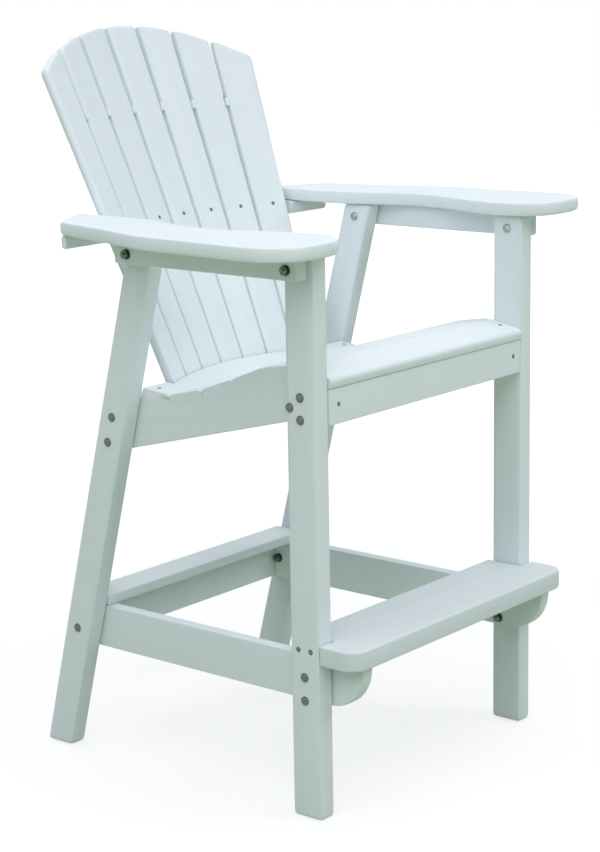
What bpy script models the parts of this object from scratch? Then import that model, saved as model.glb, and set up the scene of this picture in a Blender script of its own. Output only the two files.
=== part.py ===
"""Bar height adirondack chair: white poly lumber boards, held by carriage bolts.

Metres, +Z up. The sitter faces -Y, so the sitter's right hand is at -X. While the pieces are made,
Y is measured from the front faces of the front legs. The root empty then moves the whole chair so
that its origin is on the floor, under the middle of its box.
"""
import math

import bmesh
import bpy
from mathutils import Matrix, Vector

CHAIR = "bar_height_adirondack_chair"

# Clearances
GAP = 0.0003                 # between boards that touch
WELD = 0.00002               # merging of doubled points
HOLE_SLACK = 0.0005          # bolt hole radius over bolt radius
NUT_SINK = 0.0004            # how far a nut is let into its washer, so that the two are one piece
CUT_REACH = 2                # length of a cutter, in thicknesses of what it cuts

# Legs and arm rails
LEG_THICK = 0.038
LEG_WIDTH = 0.064
LEG_SPAN = 0.648             # outer face to outer face
ARM_HEIGHT = 0.986           # underside of the arms
REAR_FOOT = 0.613            # front corner of the rear foot, behind the front legs' front faces
REAR_LEG_WIDTH = 0.062       # square to the sloping leg
REAR_LEG_LEAN = math.radians(14.8)
ARM_RAIL_THICK = 0.030
ARM_RAIL_HEIGHT = 0.043
ARM_RAIL_SETBACK = 0.010

# Arms and the crosspiece that joins them behind the back
ARM_THICK = 0.0255
ARM_NOSE = 0.049             # overhang in front of the legs
ARM_INNER = 0.062            # reach inside the legs' outer faces, at the front
ARM_WAIST = 0.0175           # the same reach at the narrowest place
ARM_WAIST_PLACE = 0.51       # that place, as a part of the arm's length
ARM_WAIST_SPREAD = 0.36      # how far the narrowing runs each way, as a part of the length
ARM_OUTER = ((0.0, 0.130), (0.19, 0.133), (0.38, 0.1245), (0.56, 0.122), (0.75, 0.090), (1.0, 0.053))
ARM_INNER_RADIUS = 0.080
ARM_OUTER_RADIUS = 0.075
ARM_TAIL_RADIUS = 0.008
ARM_SLAT_CLEARANCE = 0.005
CROSS_THICK = 0.025
CROSS_REACH = 0.044          # past the legs' outer faces
CROSS_HORN = 0.0546          # how far its ends come in front of the middle back slat
CROSS_END = 0.0125           # depth at the ends
CROSS_BACK = 0.070           # how far its middle reaches behind the middle back slat's face
CROSS_SLAT_CLEARANCE = 0.002

# Seat
BOARD_THICK = 0.019          # seat slats, back slats and apron
SEAT_FRONT_HEIGHT = 0.774
SEAT_NOSE = 0.006            # overhang in front of the apron
SEAT_NOSE_RADIUS = 0.009
SEAT_BOARD = 0.077           # pitch of the seat slats along the seat's curve
SEAT_TILTS = (12.0, -9.0, -22.0, -20.0, -13.5)
REAR_TILT = 4.8              # rear slat, which rises to the back
SEAT_GAP = 0.002
REAR_BOARD_DEPTH = 0.0963    # from the rear slat's front edge to the back, on the level, at the middle
REAR_BOARD_ENDS = 0.066      # depth of the rear slat beside the back
REAR_BOARD_CLEARANCE = 0.003
APRON_HEIGHT = 0.063
SEAT_RAIL_THICK = 0.038
SEAT_RAIL_FLAT = 0.015       # level underside behind the front legs
SEAT_RAIL_REAR_DEPTH = 0.107
SEAT_RAIL_INSET = 0.002      # its rear end in front of the rear legs' rear edges

# Back
SLATS = 7
SLAT_GAP = 0.003
FAN_MARGIN = 0.031           # between the outer slat and the seat rail, at seat level
BACK_TOP_WIDTH = 0.589       # over all the slats and their gaps, as high as the middle one
RECLINE = math.radians(23.05)
SLAT_TURN = 0.110            # change of slope from each slat to the next, which hollows the back
BACK_TAIL = 0.083            # slat length below the seat
HEIGHT = 1.338               # top of the middle slat
ARCH_RADIUS = 0.610
UPPER_BRACE_DROP = 0.170     # below the top, along the back
UPPER_BRACE_THICK = 0.019
UPPER_BRACE_DEPTH = 0.038
UPPER_BRACE_INSET = 0.035    # its ends inside the back's outer edges
BRACE_END = 0.010            # depth of a brace at its ends
LOWER_BRACE_DROP = 0.058     # below the seat, along the back
LOWER_BRACE_THICK = 0.025
LOWER_BRACE_DEPTH = 0.034

# Lower frame
STRETCHER_THICK = 0.024
STRETCHER_BOTTOM = 0.200
STRETCHER_HEIGHT = 0.082
STRETCHER_NOSE = 0.067       # in front of the legs
STRETCHER_LIP = 0.007        # upright part of the rounded front end
REAR_STRETCHER_THICK = 0.023
SHELF_THICK = 0.019
SHELF_DEPTH = 0.069
FOOTREST_THICK = 0.036
FOOTREST_NOSE = 0.080
FOOTREST_BACK = 0.009        # behind the legs
FOOTREST_SIDE = 0.001        # past the legs' outer faces
FOOTREST_RADIUS = 0.036

# Edge roundings
BOARD_EDGE = 0.003
SLAT_EDGE = 0.008            # back slats
LEG_EDGE = 0.008
RAIL_EDGE = 0.005            # arm rails
ARM_EDGE = 0.007
CROSS_EDGE = 0.006           # crosspiece
FOOTREST_EDGE = 0.005
SHARP = math.radians(35)     # edges that turn more than this are edges, and less is a curve
FLAT = 0.0001                # faces that turn less than this, in radians, are one face

# Fineness of the curves
EDGE_STEPS = 2
ARM_STEPS = 16               # along each side of an arm
TAIL_STEPS = 4               # across an arm's rear end
CORNER_STEPS = 8             # rounded corners of the arms and the footrest
NOSE_STEPS = 5               # front edge of the seat
STRETCHER_STEPS = 10         # front end of a side stretcher
CROSS_STEPS = 24             # rear edge of the crosspiece
BRACE_STEPS = 14             # rear edge of a brace
TOP_STEPS = 6                # top end of a back slat
ARCH_ROUNDS = 8              # rounds that bring a slat's top to the arch
BOLT_STEPS = 12
DOME_STEPS = 4
NUT_SIDES = 6

# Carriage bolts, with one washer and one hexagon nut each
BOLT_RADIUS = 0.004
HEAD_RADIUS = 0.0088
HEAD_HEIGHT = 0.0045
WASHER_RADIUS = 0.0095
WASHER_THICK = 0.0016
NUT_ACROSS = 0.014           # across the flats
NUT_HEIGHT = 0.0068
BOLT_END = 0.004             # past the nut
SEAT_BOLT_INSET = 0.0125     # behind the front end of the seat rail
SEAT_BOLT_EDGE = 0.0095      # middle bolt, in front of the legs' rear faces
SEAT_BOLT_RISE = 0.0135      # lowest bolt, above the rail's underside
SEAT_BOLT_DROP = 0.018       # highest bolt, below the rail's top
REAR_BOLT_RISE = 0.031
REAR_BOLT_DROP = 0.0285
STRETCHER_BOLT_RISE = 0.0145
STRETCHER_BOLT_DROP = 0.0257
ARM_BOLT_RISE = 0.0185
NUT_CLEARANCE = 0.002        # between a washer and the board beside it

# Finishes: base colour, roughness, metallic
LUMBER = ((0.80, 0.85, 0.86), 0.5, 0.0)
STEEL = ((0.55, 0.56, 0.57), 0.3, 1.0)

# Places that follow from the sizes above
LEG_OUT = LEG_SPAN / 2
LEG_IN = LEG_OUT - LEG_THICK
SEAT_RAIL_OUT = LEG_IN - GAP
SEAT_RAIL_IN = SEAT_RAIL_OUT - SEAT_RAIL_THICK
SEAT_RAIL_FRONT = BOARD_THICK + GAP
STRETCHER_OUT = LEG_IN - GAP
STRETCHER_IN = STRETCHER_OUT - STRETCHER_THICK
STRETCHER_TOP = STRETCHER_BOTTOM + STRETCHER_HEIGHT
ARM_RAIL_IN = LEG_OUT + GAP
ARM_RAIL_OUT = ARM_RAIL_IN + ARM_RAIL_THICK
ARM_RAIL_TOP = ARM_HEIGHT - GAP
ARM_RAIL_BOTTOM = ARM_RAIL_TOP - ARM_RAIL_HEIGHT
CROSS_END_X = LEG_OUT + CROSS_REACH
REAR_LEG_RUN = REAR_LEG_WIDTH / math.cos(REAR_LEG_LEAN)
FAN_PITCH = 2 * (SEAT_RAIL_IN - FAN_MARGIN) / SLATS
TOP_PITCH = BACK_TOP_WIDTH / SLATS
SIDES = (("right", -1), ("left", 1))

# A side view outline (y, z) made solid along X
SIDE_VIEW = Matrix(((0, 0, 1, 0), (1, 0, 0, 0), (0, 1, 0, 0), (0, 0, 0, 1)))
UP = Vector((0, 0, 1))


def rear_leg_front(z):
    return REAR_FOOT - z * math.tan(REAR_LEG_LEAN)


def rear_leg_middle(z):
    return rear_leg_front(z) + REAR_LEG_RUN / 2


def rear_leg_back(z):
    return rear_leg_front(z) + REAR_LEG_RUN


# Seat curve: straight slats end to end, seen from the side

def seat_corners():
    corners = [Vector((-SEAT_NOSE, SEAT_FRONT_HEIGHT))]
    for tilt in SEAT_TILTS:
        angle = math.radians(tilt)
        corners.append(corners[-1] + SEAT_BOARD * Vector((math.cos(angle), math.sin(angle))))
    return corners


SEAT_CORNERS = seat_corners()
SEAT_REAR = SEAT_CORNERS[-1].y


def seat_normal(index):
    """Upward normal of one slat, the rear one last."""
    angle = math.radians((SEAT_TILTS + (REAR_TILT,))[index])
    return Vector((-math.sin(angle), math.cos(angle)))


def seat_under(index, depth):
    """Corner of the seat curve, moved down by a depth square to the slats that meet there."""
    ahead = seat_normal(max(index - 1, 0))
    middle = (ahead + seat_normal(index)).normalized()
    return SEAT_CORNERS[index] - middle * (depth / middle.dot(ahead))


def front_slat_under(y):
    """Height just below the front slat."""
    start = seat_under(0, BOARD_THICK + GAP)
    return start.y + (y - start.x) * math.tan(math.radians(SEAT_TILTS[0]))


APRON_BOTTOM = front_slat_under(0.0) - APRON_HEIGHT
SEAT_RAIL_REAR_TOP = SEAT_REAR - BOARD_THICK - GAP  # where the rear slat starts
SEAT_RAIL_REAR_BOTTOM = SEAT_RAIL_REAR_TOP - SEAT_RAIL_REAR_DEPTH

# Back: a reclined fan of slats on part of a cone, so that flat slats lie edge to edge all the way up
BACK_FOOT = Vector((0, SEAT_CORNERS[-1].x + REAR_BOARD_DEPTH, SEAT_REAR))
BACK_UP = Vector((0, math.sin(RECLINE), math.cos(RECLINE)))
BACK_REAR = Vector((0, math.cos(RECLINE), -math.sin(RECLINE)))
BACK_LENGTH = (HEIGHT - SEAT_REAR) / math.cos(RECLINE)


def slat_pitch(along):
    return FAN_PITCH + (TOP_PITCH - FAN_PITCH) * along / BACK_LENGTH


def on_back(place, along):
    """Point on the hollow front of the back: slats from the middle one, and length up from the seat."""
    pitch = slat_pitch(along)
    hollow = place * place * pitch * SLAT_TURN / 2
    return BACK_FOOT + BACK_UP * along - BACK_REAR * hollow + Vector((place * pitch, 0, 0))


class Slat:
    """One straight back slat: its foot on the front face, and its across, up and front directions."""

    def __init__(self, place):
        self.foot = on_back(place, -BACK_TAIL)
        self.up = (on_back(place, BACK_LENGTH) - self.foot).normalized()
        slope = place * SLAT_TURN
        across = Vector((1, 0, 0)) - BACK_REAR * slope
        self.across = (across - self.up * across.dot(self.up)).normalized()
        self.front = self.across.cross(self.up)
        self.stretch = math.hypot(1, slope)

    def half_width(self, along):
        pitch = slat_pitch(along * self.up.dot(BACK_UP) - BACK_TAIL)
        return (pitch * self.stretch - SLAT_GAP) / 2

    def crossing(self, point, normal, depth):
        """Where the slat's middle line, a depth behind its front, passes a plane; and how far up."""
        start = self.foot - self.front * depth
        along = (point - start).dot(normal) / self.up.dot(normal)
        return start + self.up * along, along

    def top_outline(self):
        """Top edge, left to right, on the arch that all the slats share."""
        points = []
        for step in range(TOP_STEPS + 1):
            part = 1 - 2 * step / TOP_STEPS
            along = BACK_LENGTH + BACK_TAIL
            for _ in range(ARCH_ROUNDS):
                side = part * self.half_width(along)
                x = self.foot.x + side * self.across.x + along * self.up.x
                arch = HEIGHT - ARCH_RADIUS + math.sqrt(ARCH_RADIUS ** 2 - x * x)
                along = (arch - self.foot.z - side * self.across.z) / self.up.z
            points.append((side, along))
        return points


BACK_SLATS = [Slat(index - (SLATS - 1) / 2) for index in range(SLATS)]
OUTER_SLAT = BACK_SLATS[-1]


def outer_slat_x(z):
    """How far out the outer slat's rear corner is at a height."""
    point, along = OUTER_SLAT.crossing(Vector((0, 0, z)), UP, BOARD_THICK)
    return point.x + OUTER_SLAT.half_width(along) * OUTER_SLAT.across.x


def slat_faces(point, normal, depth, slack, reach, right, ahead):
    """Outline that follows the slats' faces where a plane cuts them, as (right, ahead) pairs.

    It lies a depth behind the slats' fronts and a slack further on. Lines of neighbouring slats are
    brought to the point where they meet, and the outer ones end at x = reach on either side.
    """
    lines = []
    for slat in BACK_SLATS:
        middle, _ = slat.crossing(point, normal, depth)
        middle = middle - slat.front * slack
        run = slat.front.cross(normal)
        start = Vector((middle.dot(right), middle.dot(ahead)))
        lines.append((start, Vector((run.dot(right), run.dot(ahead)))))
    corners = []
    for (start, run), (other, other_run) in zip(lines, lines[1:]):
        share = (other - start).cross(other_run) / run.cross(other_run)
        corners.append(start + run * share)
    ends = []
    for (start, run), x in ((lines[0], -reach), (lines[-1], reach)):
        ends.append(start + run * ((x - start.x) / run.x))
    return [tuple(end) for end in (ends[0], *corners, ends[1])]


def twist_slack(height):
    """Clearance for braces of one height, since the fanned slats aren't quite parallel."""
    return GAP + abs(OUTER_SLAT.front.dot(BACK_UP)) * height / 2


# Crosspiece and arm lines, seen from above
CROSS_MIDDLE_Y = BACK_FOOT.y + (ARM_HEIGHT - SEAT_REAR) * math.tan(RECLINE)
CROSS_FRONT = CROSS_MIDDLE_Y - CROSS_HORN
CROSS_SAG = CROSS_HORN + CROSS_BACK - CROSS_END
CROSS_RADIUS = (CROSS_END_X ** 2 + CROSS_SAG ** 2) / (2 * CROSS_SAG)


def cross_rear(x):
    """Rear edge of the crosspiece, which the arms' rear ends follow."""
    return CROSS_MIDDLE_Y + CROSS_BACK - CROSS_RADIUS + math.sqrt(CROSS_RADIUS ** 2 - x * x)


# Tools for making pieces

def fillet(points, steps):
    """Closed outline from (u, v, radius) corners; radius 0 keeps a corner sharp."""
    outline = []
    count = len(points)
    for index, (u, v, radius) in enumerate(points):
        corner = Vector((u, v))
        if radius == 0:
            outline.append((u, v))
            continue
        before = (Vector(points[index - 1][:2]) - corner).normalized()
        after = (Vector(points[(index + 1) % count][:2]) - corner).normalized()
        half = before.angle(after) / 2
        middle = corner + (before + after).normalized() * (radius / math.sin(half))
        first = corner + before * (radius / math.tan(half)) - middle
        sweep = math.pi - 2 * half
        turn = math.copysign(sweep, before.cross(after))
        for step in range(steps + 1):
            arm = Matrix.Rotation(-turn * step / steps, 2) @ first
            outline.append(tuple(middle + arm))
    return outline


def smooth_line(points, place):
    """Height of a smooth curve through (place, value) points."""
    for index in range(len(points) - 1):
        (x0, y0), (x1, y1) = points[index], points[index + 1]
        if place <= x1:
            break
    before = points[max(index - 1, 0)]
    after = points[min(index + 2, len(points) - 1)]
    slope0 = (y1 - before[1]) / (x1 - before[0])
    slope1 = (after[1] - y0) / (after[0] - x0)
    width = x1 - x0
    part = (place - x0) / width
    rise = part * part * (3 - 2 * part)
    bend0 = part * (1 - part) ** 2 * width * slope0
    bend1 = part * part * (part - 1) * width * slope1
    return y0 + (y1 - y0) * rise + bend0 + bend1


def finish(name, colour, roughness, metallic):
    material = bpy.data.materials.new(name)
    material.use_nodes = True
    shader = material.node_tree.nodes["Principled BSDF"]
    shader.inputs["Base Color"].default_value = (*colour, 1)
    shader.inputs["Roughness"].default_value = roughness
    shader.inputs["Metallic"].default_value = metallic
    return material


def group(name):
    collection = bpy.data.collections.new(name)
    bpy.context.scene.collection.children.link(collection)
    return collection


def start_scene():
    """Empty scene with the chair's collections, root empty and finishes."""
    for old in list(bpy.data.objects):
        bpy.data.objects.remove(old)
    parts = group(CHAIR)
    cutters = group("cutters")
    root = bpy.data.objects.new("chair_origin", None)
    parts.objects.link(root)
    return parts, cutters, root, finish("white_poly_lumber", *LUMBER), finish("stainless_steel", *STEEL)


PARTS, CUTTERS, ROOT, WHITE, METAL = start_scene()


def place_piece(name, mesh, matrix, collection, material):
    piece = bpy.data.objects.new(name, mesh)
    collection.objects.link(piece)
    piece.parent = ROOT
    piece.matrix_local = matrix
    if material and not mesh.materials:
        mesh.materials.append(material)
    return piece


def evaluated_mesh(holder):
    bpy.context.view_layer.update()
    graph = bpy.context.evaluated_depsgraph_get()
    return bpy.data.meshes.new_from_object(holder.evaluated_get(graph))


def outline_mesh(outline, thick):
    """Flat outline made solid, half its thickness to each side of its plane."""
    curve = bpy.data.curves.new("outline", "CURVE")
    curve.dimensions = "2D"
    curve.fill_mode = "BOTH"
    curve.extrude = thick / 2
    spline = curve.splines.new("POLY")
    spline.points.add(len(outline) - 1)
    for point, (u, v) in zip(spline.points, outline):
        point.co = (u, v, 0, 1)
    spline.use_cyclic_u = True
    holder = bpy.data.objects.new("outline", curve)
    bpy.context.scene.collection.objects.link(holder)
    mesh = evaluated_mesh(holder)
    bpy.data.objects.remove(holder)
    work = bmesh.new()
    work.from_mesh(mesh)
    bmesh.ops.remove_doubles(work, verts=work.verts, dist=WELD)
    flat = [edge for edge in work.edges if edge.calc_face_angle(math.pi) < FLAT]
    bmesh.ops.dissolve_edges(work, edges=flat)
    bmesh.ops.recalc_face_normals(work, faces=work.faces)
    work.to_mesh(mesh)
    work.free()
    return mesh


def ease_edges(piece, width):
    """Round the outward edges; an inner corner stays sharp, to fit what stands in it."""
    work = bmesh.new()
    work.from_mesh(piece.data)
    weight = work.edges.layers.float.new("bevel_weight_edge")
    for edge in work.edges:
        edge[weight] = float(edge.calc_face_angle_signed(0) > SHARP)
    work.to_mesh(piece.data)
    work.free()
    bevel = piece.modifiers.new("eased_edges", "BEVEL")
    bevel.width = width
    bevel.segments = EDGE_STEPS
    bevel.limit_method = "WEIGHT"
    piece.data.shade_smooth()
    piece.data.set_sharp_from_angle(angle=SHARP)


def outline_board(name, outline, thick, matrix, edge=BOARD_EDGE):
    piece = place_piece(name, outline_mesh(outline, thick), matrix, PARTS, WHITE)
    ease_edges(piece, edge)
    return piece


def side_board(name, outline, inner, outer, edge=BOARD_EDGE):
    """Board from a side view outline, between two places along X."""
    matrix = Matrix.Translation(((inner + outer) / 2, 0, 0)) @ SIDE_VIEW
    return outline_board(name, outline, abs(outer - inner), matrix, edge)


def plan_board(name, outline, bottom, top, edge=BOARD_EDGE):
    """Board from a top view outline, between two heights."""
    matrix = Matrix.Translation((0, 0, (bottom + top) / 2))
    return outline_board(name, outline, top - bottom, matrix, edge)


def straight_board(name, low, high, edge=BOARD_EDGE):
    """Rectangular board between two corners."""
    low, high = Vector(low), Vector(high)
    mesh = bpy.data.meshes.new(name)
    work = bmesh.new()
    bmesh.ops.create_cube(work, size=1.0)
    bmesh.ops.scale(work, verts=work.verts, vec=high - low)
    work.to_mesh(mesh)
    work.free()
    piece = place_piece(name, mesh, Matrix.Translation((low + high) / 2), PARTS, WHITE)
    ease_edges(piece, edge)
    return piece


def cut(piece, mesh, matrix):
    cutter = place_piece(piece.name + "_cutter", mesh, matrix, CUTTERS, None)
    cutter.hide_render = True
    cutter.display_type = "WIRE"
    boolean = piece.modifiers.new("cut", "BOOLEAN")
    boolean.operation = "DIFFERENCE"
    boolean.object = cutter


def drill(piece, inner, outer, sites):
    """Bolt holes along X through a board, at (y, z) sites."""
    mesh = bpy.data.meshes.new(piece.name + "_holes")
    work = bmesh.new()
    for y, z in sites:
        turn = Matrix.Translation(((inner + outer) / 2, y, z)) @ Matrix.Rotation(math.pi / 2, 4, "Y")
        radius = BOLT_RADIUS + HOLE_SLACK
        depth = CUT_REACH * abs(outer - inner)
        bmesh.ops.create_cone(work, cap_ends=True, segments=BOLT_STEPS, radius1=radius,
                              radius2=radius, depth=depth, matrix=turn)
    work.to_mesh(mesh)
    work.free()
    cut(piece, mesh, Matrix.Identity(4))


# Bolt sites, as (y, z) seen from the side

def front_seat_sites():
    y = SEAT_RAIL_FRONT + SEAT_BOLT_INSET
    low = APRON_BOTTOM + SEAT_BOLT_RISE
    high = front_slat_under(y) - SEAT_BOLT_DROP
    return [(y, high), (LEG_WIDTH - SEAT_BOLT_EDGE, (low + high) / 2), (y, low)]


def rear_seat_sites():
    heights = (SEAT_RAIL_REAR_TOP - REAR_BOLT_DROP, SEAT_RAIL_REAR_BOTTOM + REAR_BOLT_RISE)
    return [(rear_leg_middle(z), z) for z in heights]


def front_stretcher_sites():
    heights = (STRETCHER_TOP - STRETCHER_BOLT_DROP, STRETCHER_BOTTOM + STRETCHER_BOLT_RISE)
    return [(LEG_WIDTH / 2, z) for z in heights]


def rear_stretcher_sites():
    z = STRETCHER_BOTTOM + STRETCHER_HEIGHT / 2
    return [(rear_leg_middle(z), z)]


def arm_rail_sites():
    z = ARM_RAIL_BOTTOM + ARM_BOLT_RISE
    return [(LEG_WIDTH / 2, z), (rear_leg_middle(z), z)]


# The rear stretcher stands just behind the nuts of the rear stretcher bolts
REAR_STRETCHER_FRONT = rear_stretcher_sites()[0][0] + WASHER_RADIUS + NUT_CLEARANCE
REAR_STRETCHER_BACK = REAR_STRETCHER_FRONT + REAR_STRETCHER_THICK


def make_legs():
    top = ARM_HEIGHT - GAP
    for name, side in SIDES:
        inner, outer = side * LEG_IN, side * LEG_OUT
        front = straight_board("front_leg_" + name, (min(inner, outer), 0, 0),
                               (max(inner, outer), LEG_WIDTH, top), LEG_EDGE)
        drill(front, inner, outer, front_seat_sites() + front_stretcher_sites() + arm_rail_sites()[:1])
        slope = [(rear_leg_front(0), 0), (rear_leg_back(0), 0),
                 (rear_leg_back(top), top), (rear_leg_front(top), top)]
        rear = side_board("rear_leg_" + name, slope, inner, outer, LEG_EDGE)
        drill(rear, inner, outer, rear_seat_sites() + rear_stretcher_sites() + arm_rail_sites()[1:])


def make_arm_rails():
    back = rear_leg_back((ARM_RAIL_TOP + ARM_RAIL_BOTTOM) / 2)
    for name, side in SIDES:
        inner, outer = side * ARM_RAIL_IN, side * ARM_RAIL_OUT
        rail = straight_board("arm_rail_" + name, (min(inner, outer), ARM_RAIL_SETBACK, ARM_RAIL_BOTTOM),
                              (max(inner, outer), back, ARM_RAIL_TOP), RAIL_EDGE)
        drill(rail, inner, outer, arm_rail_sites())


def arm_outline():
    """Left arm from above: paddle with a flared front, a waist, and a tail along the crosspiece."""
    front = -ARM_NOSE
    length = CROSS_FRONT - front
    tail_inner = outer_slat_x(ARM_HEIGHT + ARM_THICK) + ARM_SLAT_CLEARANCE
    tail_outer = CROSS_END_X
    inner_tail_reach = LEG_OUT - tail_inner
    sides = [step / ARM_STEPS for step in range(1, ARM_STEPS + 1)]
    points = [(LEG_OUT - ARM_INNER, front, ARM_INNER_RADIUS)]
    points.append((LEG_OUT + ARM_OUTER[0][1], front, ARM_OUTER_RADIUS))
    for part in sides:
        if part * length > ARM_OUTER_RADIUS:
            points.append((LEG_OUT + smooth_line(ARM_OUTER, part), front + part * length, 0))
    points.append((tail_outer, cross_rear(tail_outer), ARM_TAIL_RADIUS))
    for step in range(1, TAIL_STEPS):
        x = tail_outer + (tail_inner - tail_outer) * step / TAIL_STEPS
        points.append((x, cross_rear(x), 0))
    points.append((tail_inner, cross_rear(tail_inner), ARM_TAIL_RADIUS))
    for part in reversed(sides):
        turn = min(abs(part - ARM_WAIST_PLACE) / ARM_WAIST_SPREAD, 1)
        plain = ARM_INNER + (inner_tail_reach - ARM_INNER) * part
        reach = plain - (plain - ARM_WAIST) * (1 + math.cos(math.pi * turn)) / 2
        if part * length > ARM_INNER_RADIUS:
            points.append((LEG_OUT - reach, front + part * length, 0))
    return fillet(points, CORNER_STEPS)


def make_arms():
    outline = arm_outline()
    for name, side in SIDES:
        points = [(side * x, y) for x, y in outline]
        plan_board("arm_" + name, points, ARM_HEIGHT, ARM_HEIGHT + ARM_THICK, ARM_EDGE)


def make_crosspiece():
    """Crescent under the arms' tails, with a slanted seat for each back slat."""
    top = ARM_HEIGHT - GAP
    bottom = top - CROSS_THICK
    outline = [(-CROSS_END_X, CROSS_FRONT), (CROSS_END_X, CROSS_FRONT)]
    for step in range(CROSS_STEPS + 1):
        x = CROSS_END_X * (1 - 2 * step / CROSS_STEPS)
        outline.append((x, cross_rear(x)))
    crosspiece = plan_board("arm_crosspiece", outline, bottom, top, CROSS_EDGE)
    middle = Vector((0, 0, (top + bottom) / 2))
    reach = outer_slat_x(top) + CROSS_SLAT_CLEARANCE
    seats = slat_faces(middle, UP, BOARD_THICK, twist_slack(CROSS_THICK), reach,
                       Vector((1, 0, 0)), BACK_REAR)
    clear = seats[0][1] - CROSS_HORN - CROSS_BACK
    recess = [(-reach, clear)] + seats + [(reach, clear)]
    height = BACK_FOOT.dot(BACK_UP) + (middle.z - SEAT_REAR) / math.cos(RECLINE)
    depth = CUT_REACH * (CROSS_THICK + CROSS_BACK)
    cut(crosspiece, outline_mesh(recess, depth), back_section(height))


def back_section(height):
    """Frame across the back: X to the side, Y to the rear of the slats, Z up along them."""
    frame = Matrix((Vector((1, 0, 0)), BACK_REAR, BACK_UP)).transposed().to_4x4()
    return Matrix.Translation(BACK_UP * height) @ frame


def make_brace(name, along, thick, depth, reach):
    """Crescent board square to the slats, its front edge fitted to their rear faces."""
    point = BACK_FOOT + BACK_UP * along
    front = slat_faces(point, BACK_UP, BOARD_THICK, twist_slack(thick), reach,
                       Vector((1, 0, 0)), BACK_REAR)
    middle = front[len(front) // 2][1] + depth
    fall = middle - front[0][1] - BRACE_END
    rear = []
    for step in range(BRACE_STEPS + 1):
        share = 1 - 2 * step / BRACE_STEPS
        rear.append((reach * share, middle - fall * share * share))
    outline_board(name, front + rear, thick, back_section(point.dot(BACK_UP)))


def make_back():
    for index, slat in enumerate(BACK_SLATS):
        base = slat.half_width(0)
        outline = [(-base, 0), (base, 0)] + slat.top_outline()
        frame = Matrix((slat.across, slat.up, slat.front)).transposed().to_4x4()
        middle = slat.foot - slat.front * (BOARD_THICK / 2)
        outline_board("back_slat_%d" % (index + 1), outline, BOARD_THICK,
                      Matrix.Translation(middle) @ frame, SLAT_EDGE)
    upper = BACK_LENGTH - UPPER_BRACE_DROP
    upper_reach = SLATS * slat_pitch(upper) / 2 - UPPER_BRACE_INSET
    make_brace("upper_back_brace", upper, UPPER_BRACE_THICK, UPPER_BRACE_DEPTH, upper_reach)
    make_brace("lower_back_brace", -LOWER_BRACE_DROP, LOWER_BRACE_THICK, LOWER_BRACE_DEPTH,
               SEAT_RAIL_IN - GAP)


def make_seat_rails():
    depth = BOARD_THICK + GAP
    under = seat_under(len(SEAT_TILTS), depth)
    rise = math.tan(math.radians(REAR_TILT))
    lean = math.tan(REAR_LEG_LEAN)
    top = (under.y + (rear_leg_back(0) - SEAT_RAIL_INSET - under.x) * rise) / (1 + lean * rise)
    outline = [(SEAT_RAIL_FRONT, APRON_BOTTOM), (LEG_WIDTH + SEAT_RAIL_FLAT, APRON_BOTTOM)]
    for z in (SEAT_RAIL_REAR_BOTTOM, top):
        outline.append((rear_leg_back(z) - SEAT_RAIL_INSET, z))
    for index in range(len(SEAT_TILTS), 0, -1):
        outline.append(tuple(seat_under(index, depth)))
    outline.append((SEAT_RAIL_FRONT, front_slat_under(SEAT_RAIL_FRONT)))
    for name, side in SIDES:
        inner, outer = side * SEAT_RAIL_IN, side * SEAT_RAIL_OUT
        rail = side_board("seat_rail_" + name, outline, inner, outer)
        drill(rail, inner, outer, front_seat_sites() + rear_seat_sites())


def make_seat():
    half = LEG_IN - GAP
    apron = [(0, APRON_BOTTOM), (BOARD_THICK, APRON_BOTTOM),
             (BOARD_THICK, front_slat_under(BOARD_THICK)), (0, front_slat_under(0))]
    side_board("seat_front_apron", apron, -half, half)
    for index, tilt in enumerate(SEAT_TILTS):
        run = Vector((math.cos(math.radians(tilt)), math.sin(math.radians(tilt))))
        ease = run * (SEAT_GAP / 2)
        first = index == 0
        start = SEAT_CORNERS[index] if first else SEAT_CORNERS[index] + ease
        under = seat_under(index, BOARD_THICK) if first else seat_under(index, BOARD_THICK) + ease
        end = SEAT_CORNERS[index + 1] - ease
        end_under = seat_under(index + 1, BOARD_THICK) - ease
        nose = SEAT_NOSE_RADIUS if first else 0
        outline = fillet([(*under, 0), (*end_under, 0), (*end, 0), (*start, nose)], NOSE_STEPS)
        side_board("seat_slat_%d" % (index + 1), outline, -half, half)
    make_rear_slat(half)


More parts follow.
